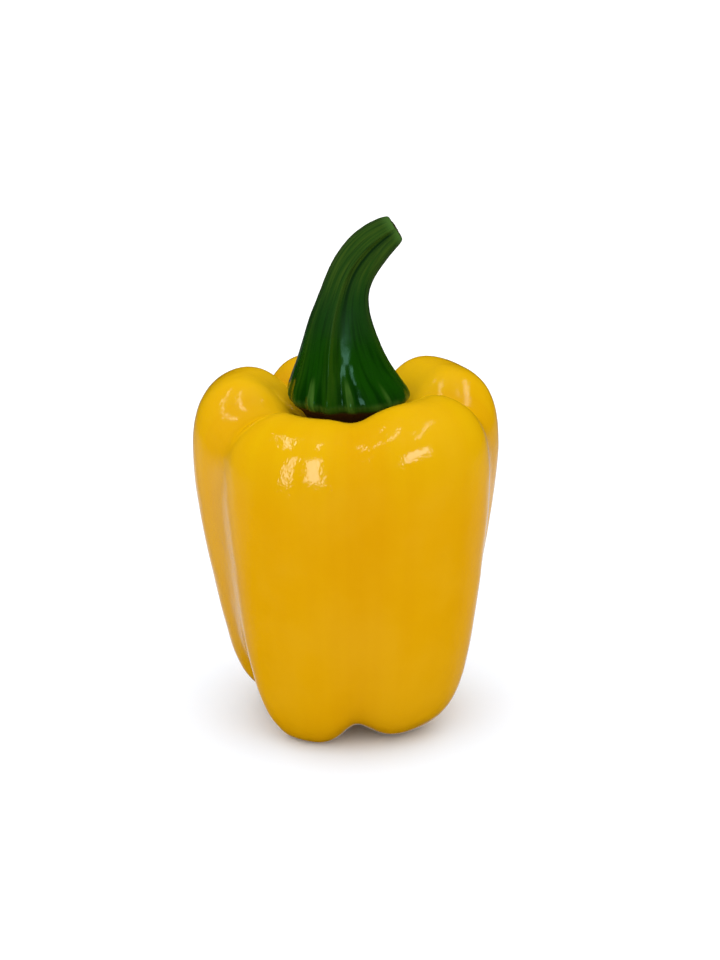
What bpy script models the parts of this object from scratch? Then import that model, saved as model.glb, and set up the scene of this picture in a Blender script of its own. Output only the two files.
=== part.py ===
"""Yellow bell pepper: a blocky fruit with five lobes, and the green stem with its calyx.

Metres, +Z up. The fruit stands on three low lobes at z = 0 and its front faces -Y. Each piece is a
sphere whose points are moved onto a surface worked out from a few control rings: a ring gives the
outline at one level, and the grooves, lobes and ribs give its shape round the axis.
"""
import math
from collections import namedtuple

import bmesh
import bpy
import numpy as np
from mathutils import Vector
from mathutils.bvhtree import BVHTree

FRUIT_RADIUS = 0.0410
FRUIT_HEIGHT = 0.0925
CALYX_RIM_HEIGHT = 0.0890
PIECE_GAP = 0.0004
SPHERE_RADIUS = 1.0

# columns are a multiple of the number of grooves or ribs, so that a column runs along each of them
FRUIT_COLUMNS = 80
FRUIT_ROWS = 46
STEM_COLUMNS = 84
STEM_ROWS = 28

FRUIT_COLOUR = (0.80, 0.36, 0.004, 1.0)
STEM_COLOUR = (0.020, 0.090, 0.006, 1.0)
SKIN_ROUGHNESS = 0.16
STEM_ROUGHNESS = 0.28

# at: azimuth in degrees from the front, anticlockwise from above; side: share of the radius it cuts in;
# dip: how far it lowers the crest; notch: how far it lifts the foot; soft: how rounded its bottom is
Groove = namedtuple("Groove", "at side dip notch soft")
GROOVES = [
    Groove(at=4, side=0.035, dip=0.0035, notch=0.0035, soft=0.08),
    Groove(at=82, side=0.10, dip=0.0060, notch=0.0050, soft=0.10),
    Groove(at=158, side=0.11, dip=0.0070, notch=0.0050, soft=0.10),
    Groove(at=227, side=0.11, dip=0.0070, notch=0.0050, soft=0.10),
    Groove(at=298, side=0.13, dip=0.0070, notch=0.0060, soft=0.10),
]

# each lobe lies between the groove of its own row and the next one; girth and heel scale its radius at
# the side and near the foot, crest and foot lift its top and its bottom
Lobe = namedtuple("Lobe", "girth heel crest foot")
LOBES = [
    Lobe(girth=0.985, heel=1.090, crest=0.0000, foot=0.0018),
    Lobe(girth=1.000, heel=0.970, crest=0.0010, foot=0.0000),
    Lobe(girth=0.970, heel=0.950, crest=-0.0005, foot=0.0000),
    Lobe(girth=0.985, heel=0.910, crest=0.0008, foot=0.0058),
    Lobe(girth=1.000, heel=1.055, crest=-0.0038, foot=0.0000),
]

# from the navel at the blossom end, round the side, to the floor of the hollow under the stem; radius
# and height are shares of the fruit's, the others say how strongly each groove and lobe value acts
FruitRing = namedtuple("FruitRing", "radius height side dip notch heel crest foot")
FRUIT_RINGS = [
    FruitRing(0.00, 0.090, 0.0, 0.0, 0.0, 0.0, 0.0, 0.0),
    FruitRing(0.14, 0.075, 0.5, 0.0, 0.0, 0.5, 0.0, 0.0),
    FruitRing(0.33, 0.005, 2.2, 0.0, 0.8, 1.0, 0.0, 0.8),
    FruitRing(0.56, -0.030, 2.6, 0.0, 1.2, 1.0, 0.0, 1.0),
    FruitRing(0.77, 0.065, 1.9, 0.0, 0.9, 1.0, 0.0, 0.8),
    FruitRing(0.86, 0.240, 1.2, 0.0, 0.2, 0.8, 0.0, 0.3),
    FruitRing(0.93, 0.430, 1.0, 0.0, 0.0, 0.5, 0.0, 0.0),
    FruitRing(1.00, 0.610, 1.0, 0.0, 0.0, 0.2, 0.0, 0.0),
    FruitRing(1.05, 0.800, 1.05, 0.1, 0.0, 0.0, 0.2, 0.0),
    FruitRing(0.98, 0.985, 1.3, 0.9, 0.0, 0.0, 1.0, 0.0),
    FruitRing(0.64, 1.045, 1.5, 1.3, 0.0, 0.0, 1.0, 0.0),
    FruitRing(0.42, 0.960, 1.2, 0.6, 0.0, 0.0, 0.5, 0.0),
    FruitRing(0.26, 0.890, 0.5, 0.2, 0.0, 0.0, 0.1, 0.0),
    FruitRing(0.12, 0.865, 0.0, 0.0, 0.0, 0.0, 0.0, 0.0),
    FruitRing(0.00, 0.860, 0.0, 0.0, 0.0, 0.0, 0.0, 0.0),
]

# how much closer the fruit's columns stand along a groove than over the crown of a lobe
COLUMN_CROWDING = 0.35
# how fast a groove's depth fades away from it down the side and over the crest, and at its bottom
FLANK_STEEPNESS = 5
CREST_STEEPNESS = 6
CREASE_SLOPE = 1.6

# azimuths at the calyx rim and at the cut end, then how deep the hollow after the rib is at each of them
Rib = namedtuple("Rib", "at_rim at_end deep_rim deep_end")
RIBS = [
    Rib(-88, -98, 0.35, 0.5),
    Rib(-44, -52, 0.40, 0.6),
    Rib(0, -6, 1.00, 2.2),
    Rib(42, 36, 0.50, 0.4),
    Rib(84, 74, 1.00, 0.9),
    Rib(150, 125, 1.00, 0.8),
    Rib(215, 195, 0.80, 0.6),
]
RIB_SOFTNESS = 0.25
FLUTES_PER_HOLLOW = 3

# from under the calyx, round its rim and up the bent stalk to the cut end; x, y and lift place the
# ring's centre, lift counting from the rim's height; depth is the share that the hollows cut in
StemRing = namedtuple("StemRing", "x y lift radius depth flute")
STEM_RINGS = [
    StemRing(0.0000, 0.0000, -0.0098, 0.0000, 0.00, 0.0),
    StemRing(0.0000, 0.0000, -0.0096, 0.0045, 0.00, 0.0),
    StemRing(0.0000, 0.0000, -0.0082, 0.0095, 0.04, 0.0),
    StemRing(0.0000, -0.0006, -0.0026, 0.0133, 0.10, 0.0001),
    StemRing(0.0000, -0.0012, -0.0012, 0.0163, 0.15, 0.0004),
    StemRing(0.0000, -0.0012, 0.0006, 0.0164, 0.15, 0.0005),
    StemRing(-0.0011, -0.0005, 0.0055, 0.0137, 0.13, 0.0004),
    StemRing(-0.0018, 0.0000, 0.0110, 0.0112, 0.12, 0.00025),
    StemRing(-0.0014, 0.0000, 0.0165, 0.0094, 0.11, 0.0001),
    StemRing(-0.0014, 0.0003, 0.0220, 0.0077, 0.11, 0.0),
    StemRing(-0.0006, 0.0008, 0.0275, 0.0062, 0.12, 0.0),
    StemRing(0.0008, 0.0014, 0.0328, 0.0056, 0.13, 0.0),
    StemRing(0.0034, 0.0021, 0.0372, 0.0054, 0.14, 0.0),
    StemRing(0.0064, 0.0027, 0.0406, 0.0052, 0.14, 0.0),
    StemRing(0.0091, 0.0032, 0.0430, 0.0050, 0.14, 0.0),
    StemRing(0.0115, 0.0036, 0.0448, 0.0048, 0.12, 0.0),
    StemRing(0.0121, 0.0037, 0.0453, 0.0036, 0.06, 0.0),
    StemRing(0.0118, 0.0037, 0.0451, 0.0000, 0.00, 0.0),
]
# the rings up to this one lie level, the later ones stand square to the stalk, and the last few, which
# make the cut end, all face the way the stalk ends
LAST_LEVEL_RING = 6
CUT_END_RINGS = 4


def clear_scene():
    for obj in list(bpy.data.objects):
        bpy.data.objects.remove(obj, do_unlink=True)


def new_collection(name):
    collection = bpy.data.collections.new(name)
    bpy.context.scene.collection.children.link(collection)
    return collection


def new_material(name, colour, roughness):
    material = bpy.data.materials.new(name)
    material.use_nodes = True
    shader = material.node_tree.nodes["Principled BSDF"]
    shader.inputs["Base Color"].default_value = colour
    shader.inputs["Roughness"].default_value = roughness
    shader.inputs["Metallic"].default_value = 0.0
    return material


def smoother_step(x):
    return x**3 * (x * (6 * x - 15) + 10)


def softened(x, softness):
    """A ramp from 0 to 1 whose start is rounded off."""
    return (np.sqrt(x**2 + softness**2) - softness) / (np.sqrt(1 + softness**2) - softness)


def valley(away, steepness):
    """1 in a groove, falling to 0 at the crown of the lobe beside it."""
    return (1 - away) ** steepness * (1 + (steepness - CREASE_SLOPE) * away)


def sphere_places(mesh):
    """Turn round the axis (0 to 1 from the front) and rise (0 bottom pole, 1 top pole) of each point."""
    points = np.array([v.co for v in mesh.verts]) / SPHERE_RADIUS
    turn = np.degrees(np.arctan2(points[:, 0], -points[:, 1])) / 360 % 1
    rise = 1 - np.arccos(np.clip(points[:, 2], -1, 1)) / math.pi
    return turn, rise


def sector_places(turn, count):
    """Which of the count sectors a point lies in, and how far across it from 0 to 1."""
    scaled = turn * count
    sector = np.minimum(np.floor(scaled).astype(int), count - 1)
    return sector, scaled - sector


def spline_weights(rise, count):
    """Index of the first of four rings, counted in a list with one more ring at each end, and weights."""
    place = rise * (count - 1)
    first = np.clip(np.floor(place).astype(int), 0, count - 2)
    t = place - first
    weights = [(1 - t) ** 3, 3 * t**3 - 6 * t**2 + 4, -3 * t**3 + 3 * t**2 + 3 * t + 1, t**3]
    return first, [w / 6 for w in weights]


def past_poles(rings):
    """The rings with their neighbours mirrored through each pole, which keeps the poles smooth."""
    before = rings[1]._replace(radius=-rings[1].radius)
    after = rings[-2]._replace(radius=-rings[-2].radius)
    return [before, *rings, after]


def groove_and_lobe_values(turn):
    """Azimuth in radians, and each groove's and lobe's values as they act at each point's azimuth."""
    count = len(GROOVES)
    sector, across = sector_places(turn, count)
    across = across - COLUMN_CROWDING * np.sin(2 * np.pi * across) / (2 * np.pi)
    starts = np.array([g.at for g in GROOVES] + [GROOVES[0].at + 360], float)
    widths = np.diff(starts)
    azimuth = np.radians(starts[sector] + widths[sector] * across)
    side_of_crown = 2 * across - 1
    groove = np.where(side_of_crown < 0, sector, (sector + 1) % count)
    soft = np.array([g.soft for g in GROOVES])[groove]
    away = softened(1 - np.abs(side_of_crown), soft)
    flank = valley(away, FLANK_STEEPNESS)
    saddle = valley(away, CREST_STEEPNESS)
    other = np.where(side_of_crown < 0, (sector - 1) % count, (sector + 1) % count)
    share = np.abs(side_of_crown) * widths[sector] / (widths[sector] + widths[other])
    mix = smoother_step(share)
    values = {"azimuth": azimuth}
    for name, strength in (("side", flank), ("dip", saddle), ("notch", flank)):
        values[name] = np.array([getattr(g, name) for g in GROOVES])[groove] * strength
    for name in Lobe._fields:
        of_lobe = np.array([getattr(lobe, name) for lobe in LOBES])
        values[name] = of_lobe[sector] * (1 - mix) + of_lobe[other] * mix
    return values


def fruit_surface(turn, rise):
    at = groove_and_lobe_values(turn)
    rings = past_poles(FRUIT_RINGS)
    ring = {name: np.array([getattr(r, name) for r in rings]) for name in FruitRing._fields}
    first, weights = spline_weights(rise, len(FRUIT_RINGS))
    radius = np.zeros_like(turn)
    height = np.zeros_like(turn)
    for step, weight in enumerate(weights):
        k = first + step
        breadth = at["girth"] * (1 - ring["heel"][k]) + at["heel"] * ring["heel"][k]
        radius += weight * ring["radius"][k] * breadth * (1 - ring["side"][k] * at["side"])
        lift = ring["notch"][k] * at["notch"] - ring["dip"][k] * at["dip"]
        lift += ring["crest"][k] * at["crest"] + ring["foot"][k] * at["foot"]
        height += weight * (FRUIT_HEIGHT * ring["height"][k] + lift)
    radius *= FRUIT_RADIUS
    # the skin lies flat where it carries the weight
    height = np.maximum(height, 0)
    return np.stack([radius * np.sin(at["azimuth"]), -radius * np.cos(at["azimuth"]), height], 1)


def stem_frames(rings):
    """Centre of each ring, and the matrix that turns a level ring square to the stalk."""
    centres = np.array([(r.x, r.y, CALYX_RIM_HEIGHT + r.lift) for r in rings])
    end_direction = centres[-CUT_END_RINGS] - centres[-CUT_END_RINGS - 1]
    frames = []
    for k in range(len(rings)):
        direction = np.array((0.0, 0.0, 1.0))
        if k >= len(rings) - CUT_END_RINGS:
            direction = end_direction
        elif k > LAST_LEVEL_RING:
            direction = centres[k + 1] - centres[k - 1]
        turn = Vector((0, 0, 1)).rotation_difference(Vector(direction))
        frames.append(np.array(turn.to_matrix()))
    return centres, np.array(frames)


def stem_surface(turn, rise):
    count = len(RIBS)
    sector, across = sector_places(turn, count)
    away = softened(1 - np.abs(2 * across - 1), RIB_SOFTNESS)
    hollow = away * (2 - away)
    flute = np.cos(2 * np.pi * FLUTES_PER_HOLLOW * across)
    rings = past_poles(STEM_RINGS)
    centres, frames = stem_frames(rings)
    stalk_height = max(r.lift for r in rings)
    first, weights = spline_weights(rise, len(STEM_RINGS))
    points = np.zeros((len(turn), 3))
    for k, ring in enumerate(rings):
        up = min(max(ring.lift / stalk_height, 0), 1)
        starts = np.array([r.at_rim + (r.at_end - r.at_rim) * up for r in RIBS])
        starts = np.append(starts, starts[0] + 360)
        deep = np.array([r.deep_rim + (r.deep_end - r.deep_rim) * up for r in RIBS])
        azimuth = np.radians(starts[sector] + np.diff(starts)[sector] * across)
        radius = ring.radius * (1 - ring.depth * deep[sector] * hollow) + ring.flute * flute
        level = np.stack([radius * np.sin(azimuth), -radius * np.cos(azimuth), np.zeros_like(radius)], 1)
        placed = centres[k] + level @ frames[k].T
        for step, weight in enumerate(weights):
            here = first + step == k
            points[here] += weight[here, None] * placed[here]
    return points


def rest_on(points, support):
    """Lift the points that would enter the fruit until they clear it by the gap."""
    above = 2 * FRUIT_HEIGHT
    for point in points:
        hit = support.ray_cast(Vector((point[0], point[1], above)), Vector((0, 0, -1)))[0]
        if hit and point[2] < hit.z + PIECE_GAP:
            point[2] = hit.z + PIECE_GAP
    return points


def sphere_of(columns, rows):
    mesh = bmesh.new()
    bmesh.ops.create_uvsphere(mesh, u_segments=columns, v_segments=rows, radius=SPHERE_RADIUS)
    return mesh


def move_points(mesh, points):
    for vert, point in zip(mesh.verts, points):
        vert.co = point


def make_fruit():
    mesh = sphere_of(FRUIT_COLUMNS, FRUIT_ROWS)
    move_points(mesh, fruit_surface(*sphere_places(mesh)))
    return mesh


def make_stem(fruit):
    mesh = sphere_of(STEM_COLUMNS, STEM_ROWS)
    points = stem_surface(*sphere_places(mesh))
    move_points(mesh, rest_on(points, BVHTree.FromBMesh(fruit)))
    return mesh


def centre_over_origin(meshes):
    """Bring the middle of the whole pepper's box over the origin, with its feet at z = 0."""
    corners = np.array([v.co for mesh in meshes for v in mesh.verts])
    low, high = corners.min(0), corners.max(0)
    shift = Vector((-(low[0] + high[0]) / 2, -(low[1] + high[1]) / 2, -low[2]))
    for mesh in meshes:
        bmesh.ops.translate(mesh, verts=mesh.verts, vec=shift)


def finish_piece(name, mesh, material, collection):
    bmesh.ops.recalc_face_normals(mesh, faces=mesh.faces)
    data = bpy.data.meshes.new(name)
    mesh.to_mesh(data)
    mesh.free()
    data.shade_smooth()
    data.materials.append(material)
    obj = bpy.data.objects.new(name, data)
    collection.objects.link(obj)
    return obj


def main():
    clear_scene()
    collection = new_collection("bell_pepper")
    fruit = make_fruit()
    stem = make_stem(fruit)
    centre_over_origin([fruit, stem])
    skin = new_material("fruit_skin", FRUIT_COLOUR, SKIN_ROUGHNESS)
    green = new_material("stem_green", STEM_COLOUR, STEM_ROUGHNESS)
    finish_piece("fruit", fruit, skin, collection)
    finish_piece("stem", stem, green, collection)


main()
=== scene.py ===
"""Yellow bell pepper with a green stem, on a pale studio floor.

Metres, +Z up, front towards -Y. The fruit and the stem start as spheres whose points are moved onto a
surface worked out from a few control rings, the way the frame's solids are, at a finer spacing. Small
unevenness is then added to the meshes, and the finishes are made from nodes.
"""
import math
from collections import namedtuple

import bpy
import numpy as np
from bpy.props import FloatProperty, FloatVectorProperty, IntProperty, PointerProperty
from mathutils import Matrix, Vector
from mathutils.bvhtree import BVHTree


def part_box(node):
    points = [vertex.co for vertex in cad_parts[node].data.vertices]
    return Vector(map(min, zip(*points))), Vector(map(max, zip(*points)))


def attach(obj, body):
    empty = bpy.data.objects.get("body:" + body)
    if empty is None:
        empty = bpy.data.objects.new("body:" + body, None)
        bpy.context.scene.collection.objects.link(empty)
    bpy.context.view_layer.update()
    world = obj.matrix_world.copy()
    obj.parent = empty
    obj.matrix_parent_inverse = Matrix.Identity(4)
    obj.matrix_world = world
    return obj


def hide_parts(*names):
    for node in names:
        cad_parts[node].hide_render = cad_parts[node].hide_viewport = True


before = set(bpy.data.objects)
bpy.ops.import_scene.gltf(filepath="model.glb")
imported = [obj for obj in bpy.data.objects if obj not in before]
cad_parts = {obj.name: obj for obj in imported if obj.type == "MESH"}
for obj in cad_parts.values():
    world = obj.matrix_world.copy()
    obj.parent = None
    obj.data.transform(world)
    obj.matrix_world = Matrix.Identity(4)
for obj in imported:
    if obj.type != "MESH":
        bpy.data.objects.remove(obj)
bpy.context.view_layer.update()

bl_info = {
    "name": "Bell Pepper",
    "version": (1, 0, 0),
    "blender": (4, 5, 0),
    "location": "View3D > Sidebar > Bell Pepper",
    "description": "A yellow bell pepper with a green stem, a studio floor, lights and a camera",
    "category": "Add Mesh",
}

FRUIT_NAME = "pepper_fruit"
STEM_NAME = "pepper_stem"

# names of the values that each mesh carries for its finish
GRAIN = "grain"
RISE = "rise"
GROOVE_MASK = "groove_mask"
OLIVE_MASK = "olive_mask"
SHADE_MASK = "shade_mask"
FLUTE_MASK = "flute_mask"

# at: azimuth in degrees from the front, anticlockwise from above; side: share of the radius it cuts in;
# dip: how far it lowers the crest; notch: how far it lifts the foot; soft and broad: how rounded its
# bottom is near the feet and at the shoulder
Groove = namedtuple("Groove", "at side dip notch soft broad")
GROOVES = [
    Groove(at=5, side=0.026, dip=0.0021, notch=0.0042, soft=0.08, broad=0.70),
    Groove(at=82, side=0.085, dip=0.0060, notch=0.0050, soft=0.20, broad=0.20),
    Groove(at=158, side=0.11, dip=0.0070, notch=0.0050, soft=0.10, broad=0.10),
    Groove(at=227, side=0.11, dip=0.0070, notch=0.0050, soft=0.10, broad=0.10),
    Groove(at=298, side=0.072, dip=0.0042, notch=0.0060, soft=0.30, broad=0.30),
]

# each lobe lies between the groove of its own row and the next one; girth and heel scale its radius at
# the side and near the foot, crest and foot lift its top and its bottom
Lobe = namedtuple("Lobe", "girth heel crest foot")
LOBES = [
    Lobe(girth=0.988, heel=1.096, crest=0.0000, foot=0.0018),
    Lobe(girth=1.006, heel=0.985, crest=0.0010, foot=0.0000),
    Lobe(girth=0.970, heel=0.950, crest=-0.0005, foot=0.0000),
    Lobe(girth=1.000, heel=0.958, crest=0.0008, foot=0.0058),
    Lobe(girth=1.003, heel=1.072, crest=-0.0036, foot=0.0000),
]

# from the navel at the blossom end, round the side, to the floor of the hollow under the stem; radius
# and height are shares of the fruit's, the others say how strongly each groove and lobe value acts
FruitRing = namedtuple("FruitRing", "radius height side broad dip notch heel crest foot")
FRUIT_RINGS = [
    FruitRing(0.00, 0.090, 0.0, 0.0, 0.0, 0.0, 0.0, 0.0, 0.0),
    FruitRing(0.14, 0.075, 0.5, 0.0, 0.0, 0.0, 0.5, 0.0, 0.0),
    FruitRing(0.33, 0.005, 2.2, 0.0, 0.0, 0.8, 1.0, 0.0, 0.8),
    FruitRing(0.56, -0.030, 2.6, 0.0, 0.0, 1.2, 1.0, 0.0, 1.0),
    FruitRing(0.77, 0.065, 1.9, 0.0, 0.0, 0.9, 1.0, 0.0, 0.8),
    FruitRing(0.86, 0.240, 1.2, 0.3, 0.0, 0.2, 0.8, 0.0, 0.3),
    FruitRing(0.93, 0.430, 1.0, 0.7, 0.0, 0.0, 0.5, 0.0, 0.0),
    FruitRing(1.00, 0.610, 1.0, 1.0, 0.0, 0.0, 0.2, 0.0, 0.0),
    FruitRing(1.05, 0.800, 1.05, 1.0, 0.1, 0.0, 0.0, 0.2, 0.0),
    FruitRing(1.00, 0.985, 1.1, 1.0, 0.9, 0.0, 0.0, 1.0, 0.0),
    FruitRing(0.64, 1.045, 1.3, 1.0, 1.3, 0.0, 0.0, 1.0, 0.0),
    FruitRing(0.42, 0.958, 1.2, 1.0, 0.6, 0.0, 0.0, 0.5, 0.0),
    FruitRing(0.26, 0.889, 0.5, 1.0, 0.2, 0.0, 0.0, 0.1, 0.0),
    FruitRing(0.12, 0.865, 0.0, 0.0, 0.0, 0.0, 0.0, 0.0, 0.0),
    FruitRing(0.00, 0.860, 0.0, 0.0, 0.0, 0.0, 0.0, 0.0, 0.0),
]

# how much closer the fruit's columns stand along a groove than over the crown of a lobe
COLUMN_CROWDING = 0.35
# how fast a groove's depth fades away from it down the side, over the crest and under the foot, and how
# fast it starts to fade
FLANK_STEEPNESS = 6
CREST_STEEPNESS = 6
NOTCH_STEEPNESS = 4
CREASE_SLOPE = 1.6

# first at the calyx rim and then at the cut end: azimuth of the rib, how deep the hollow after it is and
# how far that hollow's deepest line leans towards it; olive: how far up the rib turns olive
Rib = namedtuple("Rib", "at_rim at_end deep_rim deep_end lean_rim lean_end olive")
RIBS = [
    Rib(-58, -62, 0.30, 0.35, 0.0, 0.0, olive=0.60),
    Rib(-19, -10, 1.00, 2.20, 4.5, 1.2, olive=0.58),
    Rib(92, 38, 0.50, 0.40, 0.0, 0.0, olive=0.66),
    Rib(150, 115, 1.00, 0.80, 0.5, 0.5, olive=0.50),
    Rib(215, 180, 0.80, 0.70, 0.0, 0.0, olive=0.50),
    Rib(258, 245, 0.25, 0.25, 0.0, 0.0, olive=0.50),
]
# how rounded the bottom of a hollow between two ribs is
RIB_SOFTNESS = 0.18

# waves round the calyx that add up to uneven flutes: how many there are, their share and where one crests
Wave = namedtuple("Wave", "count share crest")
FLUTE_WAVES = [Wave(17, 0.55, 4), Wave(26, 0.20, 4), Wave(9, 0.25, 4)]
# azimuth of one of the two opposite sides where they are strongest, and their mean strength all round
FLUTED_SIDE = -15
FLUTE_MEAN = 0.6
# share of the rise where the painted highlights on their crests and the painted shade between them end, and
# over which they fade, and how sharply they stand out
FLUTE_TOP = 0.41
FLUTE_FADE = 0.08
FLUTE_CONTRAST = 1.3
# share of the rise over which a rib turns olive
OLIVE_FADE = 0.16
# the narrow olive stripe that runs down each rib to the calyx: how slim it is, and how strong
STRIPE_STEEPNESS = 4
STRIPE_SHARE = 0.7

# from under the calyx, round its rim and up the bent stalk to the cut end; x, y and lift place the
# ring's centre, lift counting from the rim's height; depth is the share that the hollows cut in, and
# flute is how far the flutes stand out
StemRing = namedtuple("StemRing", "x y lift radius depth flute")
STEM_RINGS = [
    StemRing(0.0003, -0.0002, -0.0089, 0.0000, 0.00, 0.0),
    StemRing(0.0003, -0.0002, -0.0087, 0.0045, 0.00, 0.0),
    StemRing(0.0003, -0.0002, -0.0075, 0.0095, 0.04, 0.0),
    StemRing(0.0004, -0.0007, -0.0016, 0.0128, 0.08, 0.0001),
    StemRing(0.0007, -0.0014, 0.0001, 0.0156, 0.12, 0.0004),
    StemRing(0.0004, -0.0014, 0.0021, 0.0168, 0.13, 0.0008),
    StemRing(-0.0001, -0.0008, 0.0052, 0.0153, 0.13, 0.0004),
    StemRing(-0.0010, 0.0000, 0.0102, 0.0124, 0.12, 0.0),
    StemRing(-0.0015, 0.0002, 0.0160, 0.0104, 0.12, 0.0),
    StemRing(-0.0014, 0.0005, 0.0219, 0.0085, 0.12, 0.0),
    StemRing(-0.0005, 0.0010, 0.0276, 0.0067, 0.12, 0.0),
    StemRing(0.0009, 0.0016, 0.0328, 0.0063, 0.13, 0.0),
    StemRing(0.0036, 0.0023, 0.0373, 0.0062, 0.14, 0.0),
    StemRing(0.0067, 0.0027, 0.0408, 0.0058, 0.14, 0.0),
    StemRing(0.0096, 0.0030, 0.0432, 0.0051, 0.14, 0.0),
    StemRing(0.0126, 0.0032, 0.0451, 0.0042, 0.12, 0.0),
    StemRing(0.0133, 0.0033, 0.0456, 0.0029, 0.06, 0.0),
    StemRing(0.0130, 0.0033, 0.0454, 0.0000, 0.00, 0.0),
]
# the rings up to this one, counted with the one that past_poles adds before the first, lie level; the
# later ones stand square to the stalk, and the last few, which make the cut end, face the way it ends
LAST_LEVEL_RING = 8
CUT_END_RINGS = 4
# clearance that the calyx keeps from the floor of the hollow
CALYX_GAP = 0.0002

# how many times each face of the two spheres is split into four
SPLITS = 2
# height over which a foot passes from its flat spot into the uneven skin
FOOT_HEIGHT = 0.004
# size of the broad and of the small unevenness of the skin
SWELL_SIZE = 0.016
RIPPLE_SIZE = 0.0042
# the corky scar at the blossom end: the rise where it ends, its grain and its depth, which is full below
# half of that rise
SCAR_RISE = 0.045
CORK_SIZE = 0.0012
CORK_DEPTH = 0.0005
# the stalk's rough bark: the rise where it starts and over which it sets in, its grain and depth
STALK_RISE = 0.25
STALK_FADE = 0.02
BARK_SIZE = 0.0022
BARK_DEPTH = 0.00012
# the fibres of the cut end, in the same way
CUT_RISE = 0.90
CUT_FADE = 0.03
FIBRE_SIZE = 0.0009
FIBRE_DEPTH = 0.0005

# how often streaks of the skin and of the stem change round the piece, and along it
SKIN_GRAIN = (9.0, 9.0, 2.5)
STEM_GRAIN = (4.0, 4.0, 2.0)

# on the fruit, the rises between which the painted light on the top and the painted light that lifts the
# shade in the hollow set in, and the scar's colour ends
TOP_LIGHT_RISES = (0.52, 0.66)
HOLLOW_LIGHT_RISES = (0.66, 0.80)
SCAR_EDGE = (0.035, 0.022)
# how far the scar's edge strays, how strongly streaks warm the skin and painted shade darkens the grooves,
# and how strongly pale clouds and the painted light in the hollow show
SCAR_STRAY = 0.012
STREAK_WARMTH = 0.2
GROOVE_SHADE = 0.5
CLOUD_SHARE = 0.3
HOLLOW_LIGHT_SHARE = 0.85
# the least and the most roughness of the skin, and its bump's strength and distance
SKIN_ROUGHNESS = (0.06, 0.12)
SKIN_BUMP = (0.35, 0.0003)

# on the stem, the rises between which bands of colour start and end: the painted highlight on the calyx rim,
# the pale tip, the dark brown under the calyx and round the cut end, and the upper stalk with its painted
# shade in the hollows and duller skin
RIM_HIGHLIGHT_START = (0.245, 0.270)
RIM_HIGHLIGHT_END = (0.315, 0.285)
TIP_START = (0.84, 0.90)
TIP_END = (0.94, 0.92)
UNDER_EDGE = (0.262, 0.228)
CUT_EDGE = (0.925, 0.945)
DARK_HOLLOWS = (0.45, 0.60)
DULL_STALK = (0.42, 0.62)
# how strongly each shows: the painted highlights on the flute crests and the rim, the pale tip, the painted
# shade between the flutes, the fine dark streaks, and the dullness of the dark brown and of the stalk
FLUTE_HIGHLIGHT_SHARE = 0.9
RIM_HIGHLIGHT_SHARE = 0.5
TIP_SHARE = 0.8
FURROW_SHADE_SHARE = 0.7
FINE_STREAK_SHARE = 0.6
BARK_DULLNESS = 0.6
STALK_DULLNESS = 0.6
# the least and the most roughness of the lower stem, how much it mirrors, and its bump
STEM_ROUGHNESS = (0.10, 0.18)
STEM_SPECULAR = 0.08
STEM_BUMP = (0.3, 0.0001)

# distances from the middle between which the floor turns from its near colour to its own
NEAR_FLOOR = (0.03, 0.22)
# the large light above, which shines on everything
OVERHEAD_PLACE = (0.0, -0.25, 1.3)
OVERHEAD_SIZE = (1.7, 1.7)
# the surround that reflections see sets in between these values of the direction they look in: its y for
# the backdrop's sides and its brighter middle, its z for the top of the middle and the top and foot of
# the whole, and how near it comes to the way in which the card on the left stands
BACKDROP_SIDES = (0.05, 0.65)
BACKDROP_MIDDLE = (0.65, 0.92)
MIDDLE_TOP = (-0.26, -0.36)
SURROUND_TOP = (-0.10, -0.30)
SURROUND_FOOT = (-0.75, -0.45)
CARD_WAY = (-0.966, 0.26, 0.0)
CARD_SPREAD = (0.80, 0.90)

# a bright window that only reflections on one piece see: the way it lies from the pepper and the angles
# it spans, in degrees, how bright it is and its colour
Window = namedtuple("Window", "piece azimuth elevation width height brightness colour")
WINDOW_DISTANCE = 0.8
# the point that the lights face
AIM = (0.0, 0.0, 0.085)
WARM_WHITE = (1.0, 0.97, 0.90)
COOL_WHITE = (0.45, 1.0, 0.85)
WINDOWS = [
    Window(FRUIT_NAME, -44, 17, 5, 48, 5.5, WARM_WHITE),
    Window(FRUIT_NAME, -13, 20, 20, 46, 5.5, WARM_WHITE),
    Window(FRUIT_NAME, 42, 17, 32, 14, 5.5, WARM_WHITE),
    Window(STEM_NAME, -8, 31, 11, 22, 15.0, COOL_WHITE),
]

# a bright strip of the ceiling that reflections on the fruit see, from one place to another
Strip = namedtuple("Strip", "start end width brightness")
CEILING_HEIGHT = 0.8
STRIPS = [
    Strip((-0.48, -0.21), (-0.28, 0.20), 0.03, 8.0),
    Strip((-0.075, -0.27), (-0.03, -0.02), 0.03, 7.0),
    Strip((0.50, -0.50), (0.475, 0.20), 0.045, 6.5),
    Strip((0.28, -0.235), (0.31, -0.20), 0.04, 7.0),
]


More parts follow.
